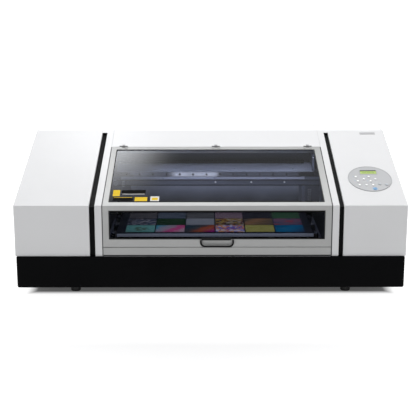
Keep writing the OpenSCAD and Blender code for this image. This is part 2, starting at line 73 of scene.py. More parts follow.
def slope_reach(node):
    """A CAD node's lowest and highest place up the slope, and how far its face stands out of it."""
    points = [v.co for v in NODES[node].data.vertices]
    return min(map(slope_s, points)), max(map(slope_s, points)), max((v - FOLD).dot(OUT) for v in points)


def middle_of(node):
    """The centre of a CAD node's box."""
    low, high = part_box(node)
    return (low + high) / 2


# ---------------------------------------------------------------- node helpers
class Shade:
    """The node tree of a material or world, with short calls for the nodes that they share."""

    def __init__(self, owner, output="ShaderNodeOutputMaterial"):
        self.owner = bpy.data.materials.new(owner) if isinstance(owner, str) else owner
        self.owner.use_nodes = True
        self.nt = self.owner.node_tree
        self.nt.nodes.clear()
        self.out = self.nt.nodes.new(output)
        self.coord = self.nt.nodes.new("ShaderNodeTexCoord")

    def link(self, a, b):
        """Joins an output to a socket."""
        self.nt.links.new(a, b)

    def feed(self, socket, value):
        """Sets a socket to a number or a colour, or links it to another node's output."""
        if isinstance(value, (int, float)):
            socket.default_value = value
        elif isinstance(value, (tuple, list)):
            socket.default_value = (*value, 1)
        else:
            self.link(value, socket)

    def node(self, kind, **settings):
        """A new node with its settings."""
        n = self.nt.nodes.new(kind)
        for key, value in settings.items():
            setattr(n, key, value)
        return n

    def space(self, scale=(1, 1, 1)):
        m = self.node("ShaderNodeMapping")
        m.inputs["Scale"].default_value = scale
        self.link(self.coord.outputs["Object"], m.inputs["Vector"])
        return m.outputs["Vector"]

    def axes(self, which="Object"):
        """The X, Y and Z of a coordinate, each as a value."""
        split = self.node("ShaderNodeSeparateXYZ")
        self.link(self.coord.outputs[which], split.inputs[0])
        return split.outputs

    def measure(self, op, other=(0, 0, 0), which="Object"):
        """The length of a coordinate, or its distance from or dot product with another one."""
        n = self.node("ShaderNodeVectorMath", operation=op)
        n.inputs[1].default_value = other
        self.link(self.coord.outputs[which], n.inputs[0])
        return n.outputs["Value"]

    def noise(self, scale, detail=4.0, rough=0.55, stretch=(1, 1, 1)):
        n = self.node("ShaderNodeTexNoise")
        n.inputs["Scale"].default_value = scale
        n.inputs["Detail"].default_value = detail
        n.inputs["Roughness"].default_value = rough
        self.link(self.space(stretch), n.inputs["Vector"])
        return n.outputs["Fac"]

    def span(self, value, lo, hi, from_lo=0.3, from_hi=0.7, curve="LINEAR"):
        """Takes from_lo...from_hi to lo...hi, and holds the ends."""
        m = self.node("ShaderNodeMapRange", clamp=True, interpolation_type=curve)
        for socket, end in (("From Min", from_lo), ("From Max", from_hi), ("To Min", lo), ("To Max", hi)):
            m.inputs[socket].default_value = end
        self.link(value, m.inputs["Value"])
        return m.outputs["Result"]

    def ramp(self, value, stops, interpolation="LINEAR"):
        r = self.node("ShaderNodeValToRGB")
        r.color_ramp.interpolation = interpolation
        while len(r.color_ramp.elements) < len(stops):
            r.color_ramp.elements.new(0.5)
        for element, (at, colour) in zip(r.color_ramp.elements, stops):
            element.position = at
            element.color = (*colour, 1)
        self.link(value, r.inputs["Fac"])
        return r.outputs["Color"]

    def mix(self, fac, a, b):
        m = self.node("ShaderNodeMix", data_type="RGBA")
        for value, socket in ((fac, m.inputs[0]), (a, m.inputs[6]), (b, m.inputs[7])):
            self.feed(socket, value)
        return m.outputs[2]

    def math(self, op, a, b=0.0):
        m = self.node("ShaderNodeMath", operation=op)
        self.feed(m.inputs[0], a)
        self.feed(m.inputs[1], b)
        return m.outputs[0]

    def bump(self, height, strength, distance):
        b = self.node("ShaderNodeBump")
        b.inputs["Strength"].default_value = strength
        b.inputs["Distance"].default_value = distance
        self.link(height, b.inputs["Height"])
        return b.outputs["Normal"]

    def surface(self, colour, rough, normal=None, **constants):
        p = self.node("ShaderNodeBsdfPrincipled")
        self.feed(p.inputs["Base Color"], colour)
        self.feed(p.inputs["Roughness"], rough)
        if normal is not None:
            self.link(normal, p.inputs["Normal"])
        for key, value in constants.items():
            p.inputs[key.replace("_", " ")].default_value = value
        self.link(p.outputs[0], self.out.inputs["Surface"])
        return p


def tone(colour, factor):
    """A colour made lighter or darker."""
    return tuple(min(1.0, c * factor) for c in colour)


# ---------------------------------------------------------------- materials
def painted(name, colour, rough, grain=2600.0, grain_height=0.00002, metallic=0.0, coat=0.0, spread=0.03,
            shine=0.5):
    """Paint or moulded plastic: a fine grain, faint clouds of colour and gloss."""
    s = Shade(name)
    clouds = s.noise(5.0, 5.0)
    fine = s.noise(grain, 2.0)
    tint = s.mix(s.span(clouds, 0.0, 1.0), tone(colour, 1 - spread), tone(colour, 1 + spread))
    gloss = s.span(s.noise(40.0, 6.0), rough * 0.88, rough * 1.12)
    s.surface(tint, gloss, s.bump(fine, 0.35, grain_height), Metallic=metallic, Coat_Weight=coat,
              Specular_IOR_Level=shine)
    return s.owner


def powder_coat(name, colour, rough, shine=0.5, clouding=0.2):
    """Powder coat: a soft leathery grain with tiny bright pips."""
    s = Shade(name)
    cells = s.node("ShaderNodeTexVoronoi", feature="SMOOTH_F1")
    cells.inputs["Scale"].default_value = 900.0
    s.link(s.space(), cells.inputs["Vector"])
    clouds = s.noise(7.0, 5.0)
    grain = s.math("ADD", s.math("MULTIPLY", cells.outputs["Distance"], 0.7), s.noise(2200.0, 2.0))
    tint = s.mix(s.span(clouds, 0.0, 1.0), tone(colour, 1 - clouding), tone(colour, 1 + clouding))
    gloss = s.span(s.noise(24.0, 6.0), rough * 0.85, rough * 1.15)
    s.surface(tint, gloss, s.bump(grain, 0.4, 0.00006), Specular_IOR_Level=shine)
    return s.owner


def worked_metal(name, colour, rough, along=(1, 60, 60), metallic=1.0, height=0.00001):
    """Ground, drawn or anodised metal: long fine lines and a few duller patches."""
    s = Shade(name)
    lines = s.noise(38.0, 4.0, 0.7, along)
    patches = s.noise(6.0, 5.0)
    tint = s.mix(s.span(lines, 0.0, 1.0), tone(colour, 0.86), tone(colour, 1.14))
    tint = s.mix(s.span(patches, 0.0, 0.35), tint, tone(colour, 0.78))
    gloss = s.math("ADD", s.span(lines, rough * 0.75, rough * 1.2), s.span(patches, -0.03, 0.05))
    s.surface(tint, gloss, s.bump(lines, 0.3, height), Metallic=metallic)
    return s.owner


def graded_plate(name, lower, upper, z0, z1, rough):
    """Satin painted sheet, lighter high up and darker lower down: painted light and shade for the light that
    reaches its upper part and not its lower, with faint random patches.
    """
    s = Shade(name)
    patches = s.span(s.noise(9.0, 5.0), -0.06, 0.06)
    # painted light and shade: the colour runs from the lower to the upper colour with height
    painted_height_shade = s.math("ADD", s.span(s.axes()[2], 0.0, 1.0, z0, z1), patches)
    gloss = s.span(s.noise(40.0, 6.0), rough * 0.88, rough * 1.12)
    s.surface(s.mix(painted_height_shade, lower, upper), gloss, s.bump(s.noise(2600.0, 2.0), 0.3, 0.00002), Metallic=0.2)
    return s.owner


def rubber(name, colour, rough=0.78):
    """Moulded rubber: matt, dusty in the hollows of its grain."""
    s = Shade(name)
    grain = s.noise(700.0, 4.0, 0.7)
    dust = s.noise(18.0, 6.0)
    tint = s.mix(s.span(dust, 0.0, 0.5), colour, tone(colour, 1.9))
    s.surface(tint, s.span(grain, rough * 0.9, min(1.0, rough * 1.12)), s.bump(grain, 0.5, 0.00008))
    return s.owner


def pane(name, tint, mirror=0.9):
    """A flat pane: what is behind shows through its tint, and its outer face mirrors more at a low angle."""
    s = Shade(name)
    clear = s.node("ShaderNodeBsdfTransparent")
    clear.inputs["Color"].default_value = (*tint, 1)
    shine = s.node("ShaderNodeBsdfGlossy")
    shine.inputs["Color"].default_value = (mirror * 0.95, mirror * 0.97, mirror, 1)
    shine.inputs["Roughness"].default_value = 0.015
    fresnel = s.node("ShaderNodeFresnel")
    fresnel.inputs["IOR"].default_value = 1.49
    outside = s.math("SUBTRACT", 1.0, s.node("ShaderNodeNewGeometry").outputs["Backfacing"])
    both = s.node("ShaderNodeMixShader")
    s.link(s.math("MULTIPLY", fresnel.outputs[0], outside), both.inputs[0])
    s.link(clear.outputs[0], both.inputs[1])
    s.link(shine.outputs[0], both.inputs[2])
    s.link(both.outputs[0], s.out.inputs["Surface"])
    return s.owner


def display(name):
    """A lit yellow-green display: rows of plain dark blocks on a dotted glow, darker along its top, where a
    painted shadow stands for the shade of the recess wall.
    """
    s = Shade(name)
    lit = (0.34, 0.45, 0.12)
    u, v = s.axes("Generated")[:2]
    cells = s.node("ShaderNodeTexBrick", offset=0.0)
    for key, value in (("Scale", 1.0), ("Brick Width", 0.052), ("Row Height", 0.2), ("Mortar Size", 0.012),
                       ("Mortar Smooth", 0.2), ("Color1", (0.13, 0.19, 0.04)),
                       ("Color2", (0.25, 0.34, 0.075)), ("Mortar", lit)):
        s.feed(cells.inputs[key], value)
    s.link(s.coord.outputs["Generated"], cells.inputs["Vector"])
    rows = s.math("MULTIPLY", s.math("GREATER_THAN", v, 0.22), s.math("LESS_THAN", v, 0.64))
    columns = s.math("MULTIPLY", s.math("GREATER_THAN", u, 0.1), s.math("LESS_THAN", u, 0.88))
    glow = s.mix(s.math("MULTIPLY", rows, columns), lit, cells.outputs["Color"])
    # painted shadow: a dark band along the display's top edge
    glow_under_painted_shadow = s.mix(s.math("GREATER_THAN", v, 0.78), glow, (0.05, 0.07, 0.02))
    p = s.surface(glow_under_painted_shadow, 0.16, Coat_Weight=0.6, Coat_Roughness=0.05)
    s.link(glow_under_painted_shadow, p.inputs["Emission Color"])
    p.inputs["Emission Strength"].default_value = 0.12
    return s.owner


def print_pattern(name, style, colours, scale, seed):
    """A printed card: a plain colour pattern in ink that stands a little proud of the card.

    shards and splash have hard edges between their colours; sweep and noise run from one to the next.
    """
    s = Shade(name)
    place = s.node("ShaderNodeMapping")
    place.inputs["Location"].default_value = (seed * 1.7, seed * 0.9, 0)
    place.inputs["Rotation"].default_value = (0, 0, seed * 0.8)
    s.link(s.coord.outputs["Generated"], place.inputs["Vector"])
    if style == "shards":
        cells = s.node("ShaderNodeTexVoronoi")
        cells.inputs["Scale"].default_value = scale
        s.link(place.outputs["Vector"], cells.inputs["Vector"])
        fac = s.math("FRACT", s.math("MULTIPLY", cells.outputs["Color"], 1.0))
    else:
        t = s.node("ShaderNodeTexNoise")
        for key, value in (("Scale", {"sweep": 3.0, "splash": 5.0}.get(style, scale)), ("Detail", 3.0),
                           ("Distortion", 1.2)):
            t.inputs[key].default_value = value
        s.link(place.outputs["Vector"], t.inputs["Vector"])
        fac = s.span(t.outputs["Fac"], 0.0, 1.0)
    if style == "sweep":
        u, v = s.axes("Generated")[:2]
        across = s.math("SUBTRACT", s.math("MULTIPLY", u, 0.75), s.math("MULTIPLY", v, 0.45))
        fac = s.math("ADD", s.math("ADD", across, 0.22), s.math("MULTIPLY", fac, 0.22))
    elif style == "splash":
        away = s.measure("DISTANCE", (0.55, 0.5, 0.5), "Generated")
        fac = s.math("ADD", s.math("MULTIPLY", away, 1.5), s.math("MULTIPLY", fac, 0.42))
    stops = [(i / max(1, len(colours) - 1), c) for i, c in enumerate(colours)]
    ink = s.ramp(fac, stops, "CONSTANT" if style in ("shards", "splash") else "EASE")
    ink = s.mix(s.span(s.noise(1800.0, 2.0), 0.0, 0.22), ink, tone(colours[0], 0.6))
    s.surface(ink, s.span(fac, 0.5, 0.6, 0, 1), s.bump(fac, 0.2, 0.0001), Specular_IOR_Level=0.0)
    return s.owner


WHITE = (0.545, 0.548, 0.556)
M = {
    "white": painted("white_shell_paint", WHITE, 0.42, coat=0.12, spread=0.012),
    "white_in": painted("white_strip_paint", WHITE, 0.40, coat=0.12, spread=0.012),
    "black": powder_coat("black_powder_coat", (0.0016, 0.0017, 0.0020), 0.34, 0.03),
    # painted highlight: a grey strip for the light caught on the base's top edge
    "ledge": painted("base_ledge_gloss", (0.30, 0.303, 0.31), 0.3),
    "foot": rubber("foot_rubber", (0.012, 0.012, 0.012)),
    "gasket": rubber("gasket_rubber", (0.006, 0.006, 0.007), 0.6),
    "trim": painted("dark_trim_plastic", (0.0030, 0.0031, 0.0034), 0.5, grain=1500.0,
                    grain_height=0.00004, shine=0.04),
    "silver": painted("cover_silver_paint", (0.315, 0.318, 0.316), 0.40, metallic=0.8, coat=0.12,
                      spread=0.02),
    "rear": powder_coat("rear_grey_coat", (0.40, 0.405, 0.415), 0.5, 0.4, 0.03),
    "frame": painted("frame_dark_paint", (0.030, 0.033, 0.045), 0.42, spread=0.08),
    "bracket": painted("bracket_blue_grey_paint", (0.17, 0.185, 0.235), 0.38, spread=0.08),
    "hinge": worked_metal("hinge_dull_steel", (0.20, 0.20, 0.205), 0.36),
    # painted shade: the lining is darker low down and lighter high up, where light comes through the top pane
    "liner": graded_plate("liner_blue_grey_paint", (0.010, 0.011, 0.014), (0.060, 0.066, 0.090),
                          0.26, 0.46, 0.45),
    "beam": worked_metal("beam_anodised", (0.16, 0.17, 0.21), 0.36, (60, 1, 1), metallic=0.5),
    "rail": worked_metal("rail_dark_steel", (0.17, 0.173, 0.18), 0.12, (1, 60, 60), height=0.000001),
    "hole": painted("hole_shadow", (0.004, 0.004, 0.005), 0.7, shine=0.1),
    # painted light and shade: the upper sheet is pale and the lower plate darker, for how the light falls on
    # them
    "cover_plate": graded_plate("cover_plate_paint", (0.06, 0.065, 0.08), (0.58, 0.60, 0.68),
                                0.262, 0.43, 0.38),
    "steel": worked_metal("ground_steel", (0.56, 0.58, 0.61), 0.26),
    "screw": worked_metal("screw_zinc", (0.70, 0.70, 0.72), 0.24, (30, 30, 30)),
    "motor": painted("motor_black_paint", (0.015, 0.016, 0.017), 0.38),
    "station": painted("station_plastic_grain", (0.03, 0.032, 0.036), 0.5, grain=1400.0,
                       grain_height=0.00005),
    "wiper": rubber("wiper_red_rubber", (0.13, 0.012, 0.012)),
    "panel": painted("panel_silver_film", (0.34, 0.345, 0.355), 0.36, metallic=0.2, spread=0.015),
    "panel_rim": painted("panel_rim_grey", (0.29, 0.295, 0.305), 0.32, metallic=0.2),
    "key_well": painted("key_well_grey", (0.36, 0.365, 0.375), 0.4),
    "power_cap": painted("power_cap_blue", (0.10, 0.28, 0.50), 0.3, coat=0.3),
    "lcd": display("display_glow"),
    "key_white": painted("key_white_plastic", (0.86, 0.865, 0.87), 0.3, coat=0.2, spread=0.01),
    "key_grey": painted("key_grey_plastic", (0.36, 0.38, 0.41), 0.32, coat=0.2),
    "key_blue": painted("key_ring_blue", (0.16, 0.34, 0.58), 0.3, coat=0.3),
    "ink_mark": painted("printed_mark_grey", (0.10, 0.11, 0.12), 0.5),
    "zinc": worked_metal("zinc_sheet", (0.46, 0.48, 0.50), 0.36, (8, 8, 1)),
    "cartridge": painted("cartridge_black", (0.02, 0.021, 0.024), 0.3),
    "handle": painted("handle_satin_black", (0.003, 0.003, 0.0033), 0.36, shine=0.15),
    "top_pane": pane("top_pane_glass", (0.74, 0.77, 0.86)),
    "front_pane": pane("front_pane_glass", (0.72, 0.74, 0.80), 0.10),
    "table": painted("table_dark_coat", (0.008, 0.009, 0.013), 0.6, shine=0.0),
    "table_bar": worked_metal("table_bar_anodised", (0.90, 0.91, 0.93), 0.40, (60, 1, 1), metallic=0.1),
    "carriage": painted("carriage_plastic", (0.035, 0.037, 0.043), 0.42, grain=1500.0, grain_height=0.00004),
    "head": worked_metal("head_plate", (0.32, 0.34, 0.37), 0.3),
    "lamp": worked_metal("lamp_black_anodised", (0.02, 0.021, 0.024), 0.36),
    "belt": rubber("belt_black_rubber", (0.010, 0.010, 0.011), 0.6),
    "sticker_yellow": painted("sticker_yellow_film", (0.56, 0.38, 0.010), 0.5, shine=0.1),
    "sticker_black": painted("sticker_black_film", (0.0025, 0.0025, 0.003), 0.6, shine=0.02),
    "sticker_white": painted("sticker_white_film", (0.50, 0.50, 0.49), 0.42, coat=0.1),
    "plate_grey": worked_metal("plate_brushed_grey", (0.42, 0.42, 0.43), 0.36),
}


# ---------------------------------------------------------------- mesh helpers
def add_object(name, data):
    """Puts a mesh, lamp or camera into the scene."""
    obj = bpy.data.objects.new(name, data)
    bpy.context.scene.collection.objects.link(obj)
    return obj


def make(name, bm, material, body, smooth=False):
    """Turns a bmesh into a piece with its material and body."""
    mesh = bpy.data.meshes.new(name)
    bmesh.ops.recalc_face_normals(bm, faces=bm.faces)
    bm.to_mesh(mesh)
    bm.free()
    obj = add_object(name, mesh)
    mesh.materials.append(material)
    if smooth:
        mesh.shade_smooth()
        mesh.set_sharp_from_angle(angle=math.radians(35))
    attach(obj, body)


def add_box(bm, low, high, bevel=0.0):
    """A box with rounded edges."""
    low, high = Vector(low), Vector(high)
    size = high - low
    part = bmesh.ops.create_cube(bm, size=1.0, matrix=Matrix.Translation((low + high) / 2)
                                 @ Matrix.Diagonal((*size, 1)))
    if bevel > 0:
        edges = list({e for v in part["verts"] for e in v.link_edges})
        bmesh.ops.bevel(bm, geom=edges, offset=min(bevel, min(size) * 0.45), segments=2,
                        affect="EDGES", profile=0.5)


def add_lathe(bm, profile, place, steps=24):
    """A solid turned from (radius, height) points round Z, closed at both ends."""
    rings = []
    for r, h in profile:
        ring = [bm.verts.new(place @ Vector((r * math.cos(a), r * math.sin(a), h)))
                for a in (2 * math.pi * i / steps for i in range(steps))]
        rings.append(ring)
    for low, high in zip(rings, rings[1:]):
        for i in range(steps):
            j = (i + 1) % steps
            bm.faces.new((low[i], low[j], high[j], high[i]))
    bm.faces.new(list(reversed(rings[0])))
    bm.faces.new(rings[-1])


def add_prism(bm, outline, depth, place, bevel=0.0):
    """A flat outline in XY, raised by depth along Z, with its upper edge rounded."""
    low = [bm.verts.new((x, y, 0)) for x, y in outline]
    face = bm.faces.new(low)
    made = bmesh.ops.extrude_face_region(bm, geom=[face])
    top = [v for v in made["geom"] if isinstance(v, bmesh.types.BMVert)]
    bmesh.ops.translate(bm, verts=top, vec=(0, 0, depth))
    verts = low + top
    if bevel > 0:
        rim = [e for e in {e for v in top for e in v.link_edges} if all(v in top for v in e.verts)]
        cut = bmesh.ops.bevel(bm, geom=rim, offset=bevel, segments=3, affect="EDGES", profile=0.5)
        verts = list({v for v in low + cut["verts"] + [v for v in top if v.is_valid]})
    bmesh.ops.transform(bm, matrix=place, verts=[v for v in verts if v.is_valid])


def round_rect(w, l, r, steps=6):
    """Points of a rectangle with round corners."""
    points = []
    for cx, cy, start in ((1, 1, 0), (-1, 1, 90), (-1, -1, 180), (1, -1, 270)):
        for i in range(steps + 1):
            a = math.radians(start + 90 * i / steps)
            points.append((cx * (w / 2 - r) + r * math.cos(a), cy * (l / 2 - r) + r * math.sin(a)))
    return points


def rectangle(x0, x1, y0, y1, r):
    """Points round a rectangle given by its edges, with round corners."""
    cx, cy = (x0 + x1) / 2, (y0 + y1) / 2
    return [(cx + x, cy + y) for x, y in round_rect(x1 - x0, y1 - y0, r)]


def inset(xs, ys, d, r):
    """A rectangle with round corners, set in by d from its edges."""
    return rectangle(xs[0] + d, xs[1] - d, ys[0] + d, ys[1] - d, r)


def ellipse(w, l, steps=96):
    """Points of an ellipse."""
    return [(w / 2 * math.cos(2 * math.pi * i / steps), l / 2 * math.sin(2 * math.pi * i / steps))
            for i in range(steps)]


def add_ring(bm, outer, inner, low, high, place):
    """A closed band between two outlines with the same number of points."""
    loops = [[bm.verts.new(place @ Vector((x, y, z))) for x, y in outline]
             for outline, z in ((outer, low), (outer, high), (inner, high), (inner, low))]
    count = len(outer)
    for a, b in zip(loops, loops[1:] + loops[:1]):
        for i in range(count):
            j = (i + 1) % count
            bm.faces.new((a[i], a[j], b[j], b[i]))


def add_washer(bm, outer, inner, low, high, place, steps=40):
    """A flat ring between two diameters."""
    add_ring(bm, ellipse(outer, outer, steps), ellipse(inner, inner, steps), low, high, place)


def add_screw(bm, place, r=0.0035, head=0.0016):
    """A pan-head screw with a round recess, its head standing along the place's Z."""
    add_lathe(bm, [(r, 0), (r, head * 0.45), (r * 0.82, head * 0.85), (r * 0.45, head), (r * 0.34, head),
                   (r * 0.26, head * 0.35), (0.0001, head * 0.3)], place, 18)


def at(point, direction):
    """A place at a point, with its Z turned to face a direction."""
    return Matrix.Translation(point) @ Vector(direction).to_track_quat("Z", "Y").to_matrix().to_4x4()


def soften(node, width):
    """Rounds a CAD node's sharp edges for the eye: its triangles are joined to faces and bevelled."""
    add = NODES[node].modifiers.new
    add("weld", "WELD").merge_threshold = 1e-5
    flat = add("flat", "DECIMATE")
    flat.decimate_type, flat.angle_limit = "DISSOLVE", math.radians(0.5)
    bevel = add("bevel", "BEVEL")
    bevel.width, bevel.segments = width, 2
    bevel.limit_method, bevel.angle_limit = "ANGLE", math.radians(32)
    bevel.harden_normals, bevel.use_clamp_overlap = False, True


# ---------------------------------------------------------------- finishes of the CAD nodes
FINISHED_NODES = {
    "black": "base_pan",
    "white": "left_cover right_cover top_panel",
    "white_in": "inner_strips",
    "silver": "cover_frame lower_front_strip",
    "trim": "trim_channels",
    "rear": "rear_panel",
    "foot": "feet",
    "hinge": "hinge_leaves",
    "handle": "handle",
    "top_pane": "top_glass",
    "front_pane": "front_glass",
    "panel": "control_panel",
    "lcd": "lcd",
    "key_white": "key_1 key_2 key_3 key_4 key_5 key_6 key_7 key_8 key_9",
    "key_grey": "menu_key enter_key",
    "power_cap": "power_key",
    "frame": "left_side_frame right_side_frame saddle",
    "beam": "gantry_beam",
    "cover_plate": "beam_covers",
    "rail": "x_rail",
    "table": "table_top",
    "carriage": "carriage_housing",
    "head": "print_heads",
    "lamp": "uv_lamps",
    "belt": "drive_belt",
    "station": "maintenance_base cap_tray",
    "wiper": "wiper",
    "zinc": "electronics_box ink_rack",
    "cartridge": "ink_cartridges",
    "motor": "carriage_motor y_motor lift_motors power_inlet power_switch fan_rotor",
    "steel": "y_rails y_screw carriage_blocks saddle_blocks guide_rods lift_screw_left lift_screw_right"
             " drive_pulley idler_pulley",
}
for finish, cad_nodes in FINISHED_NODES.items():
    for cad_node in cad_nodes.split():
        NODES[cad_node].data.materials.clear()
        NODES[cad_node].data.materials.append(M[finish])

EDGE_WIDTHS_MM = {
    "left_cover": 1.6, "right_cover": 1.6, "inner_strips": 1.2, "top_panel": 1.2, "cover_frame": 1.8,
    "lower_front_strip": 1.0, "base_pan": 1.6, "beam_covers": 0.5, "trim_channels": 0.8, "rear_panel": 0.6,
    "carriage_housing": 2.0, "gantry_beam": 1.2, "print_heads": 0.8, "uv_lamps": 1.0, "ink_cartridges": 1.2,
}
for cad_node, width in EDGE_WIDTHS_MM.items():
    soften(cad_node, width * MM)


# ---------------------------------------------------------------- front cover
REBATE = 8 * MM                                         # how far the frame laps over the panes' edges
GASKET = 3.4 * MM
PANE_X = (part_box("top_glass")[0].x + REBATE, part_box("top_glass")[1].x - REBATE)
pane_s0, pane_s1, PANE_N = slope_reach("top_glass")
PANE_S = (pane_s0 + REBATE, pane_s1 - REBATE)
WINDOW_LOW, WINDOW_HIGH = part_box("front_glass")
WINDOW_X = (WINDOW_LOW.x + REBATE, WINDOW_HIGH.x - REBATE)
WINDOW_Z = (WINDOW_LOW.z + REBATE, WINDOW_HIGH.z - REBATE)


def gaskets():
    """Black rubber lips round both panes, and black strips along the front pane's long edges, the upper one a
    painted shadow under the frame's inner lip.
    """
    bm = bmesh.new()
    inner = inset(PANE_X, PANE_S, GASKET, 1.2 * MM)
    place = slope_place(0, 0)
    add_ring(bm, inset(PANE_X, PANE_S, 0, 2 * MM), inner, PANE_N + 0.1 * MM, PANE_N + 1.0 * MM, place)
    lip = inset(PANE_X, PANE_S, 1.2 * MM, 1.5 * MM)
    add_ring(bm, lip, inner, PANE_N + 1.0 * MM, PANE_N + 1.8 * MM, place)
    make("top_pane_gasket", bm, M["gasket"], "front_cover")

    bm = bmesh.new()
    upright = Matrix.Translation((0, WINDOW_LOW.y, 0)) @ Matrix.Rotation(math.pi / 2, 4, "X")
    add_ring(bm, inset(WINDOW_X, WINDOW_Z, 0, 2 * MM), inset(WINDOW_X, WINDOW_Z, GASKET, 1.2 * MM),
             0.1 * MM, 1.4 * MM, upright)
    make("front_pane_gasket", bm, M["gasket"], "front_cover")

    bm = bmesh.new()
    # painted shadow: the upper strip stands for the shade under the frame's lip; the lower one is a dark band
    # along the pane's foot
    for x0, x1, z0, z1 in ((WINDOW_X[0], WINDOW_X[1], WINDOW_Z[1] - 9 * MM, WINDOW_Z[1]),
                           (WINDOW_X[0], WINDOW_X[1], WINDOW_Z[0], WINDOW_Z[0] + 5 * MM)):
        add_box(bm, (x0, WINDOW_LOW.y - 0.12 * MM, z0), (x1, WINDOW_LOW.y - 0.02 * MM, z1))
    make("front_pane_border", bm, M["sticker_black"], "front_cover")


def pane_stickers():
    """Blank colour films on the sloped pane, near its lower left corner."""
    films = {
        "sticker_yellow_square": ("sticker_yellow", -0.3937, -0.3655, 0.0826, 0.1331, 2.5 * MM),
        "sticker_black_plate": ("sticker_black", -0.3592, -0.2625, 0.0949, 0.1329, 1.5 * MM),
        "sticker_black_strip": ("sticker_black", -0.3907, -0.3114, 0.0436, 0.0759, 1.5 * MM),
        "sticker_yellow_plate": ("sticker_yellow", -0.3038, -0.2536, 0.0418, 0.0741, 1.5 * MM),
        "sticker_white_square": ("sticker_white", -0.2414, -0.2061, 0.0424, 0.0798, 2.0 * MM),
        "sticker_yellow_inset": ("sticker_yellow", -0.2360, -0.2115, 0.0490, 0.0700, 1.0 * MM),
        "sticker_white_lines": ("sticker_white", -0.3560, -0.2657, 0.0975, 0.1010, 0.5 * MM),
        "sticker_yellow_band": ("sticker_yellow", -0.3880, -0.3140, 0.0700, 0.0730, 0.5 * MM),
    }
    for i, (name, (finish, x0, x1, s0, s1, r)) in enumerate(films.items()):
        bm = bmesh.new()
        thick = 0.25 * MM if i < 5 else 0.32 * MM
        add_prism(bm, rectangle(x0, x1, s0, s1, r), thick, slope_place(0, 0, PANE_N + 0.02 * MM))
        make(name, bm, M[finish], "front_cover")


def cover_details():
    """Rubber rests under the cover's corners, and plugs over the screws along its sides."""
    bm = bmesh.new()
    low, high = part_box("cover_frame")
    for x in (low.x + 26 * MM, high.x - 26 * MM):
        add_lathe(bm, [(5 * MM, 0), (5 * MM, 1.4 * MM), (4 * MM, 2 * MM)],
                  Matrix.Translation((x, FRONT_Y + 12 * MM, low.z - 1.9 * MM)), 24)
    make("cover_rests", bm, M["gasket"], "front_cover", smooth=True)

    bm = bmesh.new()
    for x in (PANE_X[0] - 12 * MM, PANE_X[1] + 15 * MM):
        for s in (PANE_S[0] - 16 * MM, (PANE_S[0] + PANE_S[1]) / 2, PANE_S[1] + 12 * MM):
            add_lathe(bm, [(3 * MM, 0), (3 * MM, 0.2 * MM), (2.4 * MM, 0.5 * MM)],
                      slope_place(x, s, -0.05 * MM), 20)
    make("cover_screw_plugs", bm, M["silver"], "front_cover", smooth=True)


def side_seals():
    """Thin black seals in the gaps between the cover and the white strips beside it."""
    low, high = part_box("cover_frame")
    bm = bmesh.new()
    sides = ((low.x - 3.4 * MM, low.x - 0.2 * MM), (high.x + 0.2 * MM, high.x + 3.9 * MM))
    slope_run, front_foot = 0.517, 0.1775
    for x0, x1 in sides:
        add_box(bm, (x0, 0.0, -4 * MM), (x1, slope_run, 0.3 * MM))
    bmesh.ops.transform(bm, matrix=slope_place(0, 0), verts=bm.verts)
    for x0, x1 in sides:
        add_box(bm, (x0, FRONT_Y - 0.3 * MM, front_foot), (x1, FRONT_Y + 4 * MM, FOLD_Z))
    make("cover_side_seals", bm, M["gasket"], "root")


gaskets()
pane_stickers()
cover_details()
side_seals()


# ---------------------------------------------------------------- inside the chamber
def chamber_lining():
    """Blue-grey sheet lining behind the gantry, with a folded rim, three posts and two rows of screws."""
    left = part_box("left_side_frame")[1].x + 0.5 * MM
    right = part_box("right_side_frame")[0].x - 0.5 * MM
    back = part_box("rear_panel")[0].y - 6 * MM
    bm = bmesh.new()
    add_box(bm, (left, back, 0.182), (right, back + 2 * MM, 0.560), 0.6 * MM)
    add_box(bm, (left, back - 18 * MM, 0.545), (right, back, 0.547), 0.4 * MM)
    for x in (left + 60 * MM, 0.0, right - 60 * MM):
        add_box(bm, (x - 12 * MM, back - 4 * MM, 0.19), (x + 12 * MM, back, 0.54), 1 * MM)
    make("chamber_back_lining", bm, M["liner"], "root")
    bm = bmesh.new()
    for i in range(9):
        x = left + 40 * MM + i * (right - left - 80 * MM) / 8
        for z in (0.215, 0.525):
            add_screw(bm, at((x, back, z), (0, -1, 0)))
    make("chamber_lining_screws", bm, M["screw"], "root", smooth=True)


def beam_details():
    """Screws on the gantry's sheet covers, small ferrules in a row, and a cable chain behind the beam."""
    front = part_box("beam_covers")[0].y
    bm = bmesh.new()
    tilt = math.radians(14)                             # of the upper sheet cover
    out_of_plate = Vector((0, -math.sin(tilt), math.cos(tilt)))
    up_plate = Vector((0, math.cos(tilt), math.sin(tilt)))
    plate = Vector((0, front + 8 * MM, 0.401))
    for x in (-0.1537, 0.1102, 0.3742):
        add_screw(bm, at(Vector((x, 0, -1.2 * MM)) + plate + up_plate * 22 * MM, out_of_plate),
                  3.6 * MM, 2.0 * MM)
    for x in (-0.2118, 0.0196, 0.2507):
        add_screw(bm, at((x, front + 6 * MM, 0.369), (0, -1, 0)), 3.2 * MM, 1.8 * MM)
    make("beam_cover_screws", bm, M["screw"], "root", smooth=True)

    bm = bmesh.new()
    for x in (0.0246, 0.1862, 0.3354):
        add_lathe(bm, [(4.2 * MM, 0), (4.2 * MM, 1.2 * MM), (3.2 * MM, 2 * MM), (1.6 * MM, 2 * MM)],
                  at((x, front + 9.8 * MM, 0.3494), (0, -1, 0)), 20)
    make("beam_ferrules", bm, M["key_white"], "root", smooth=True)

    bm = bmesh.new()
    for i in range(46):
        x = -0.40 + i * 18 * MM
        add_box(bm, (x, front + 60 * MM, 0.4245), (x + 16 * MM, front + 84 * MM, 0.4395), 2 * MM)
        add_box(bm, (x + 15 * MM, front + 63 * MM, 0.4275), (x + 19 * MM, front + 81 * MM, 0.4365), 0.5 * MM)
    make("cable_chain", bm, M["trim"], "root")


RAIL_FIRST_X, RAIL_PITCH = -0.376, 60 * MM


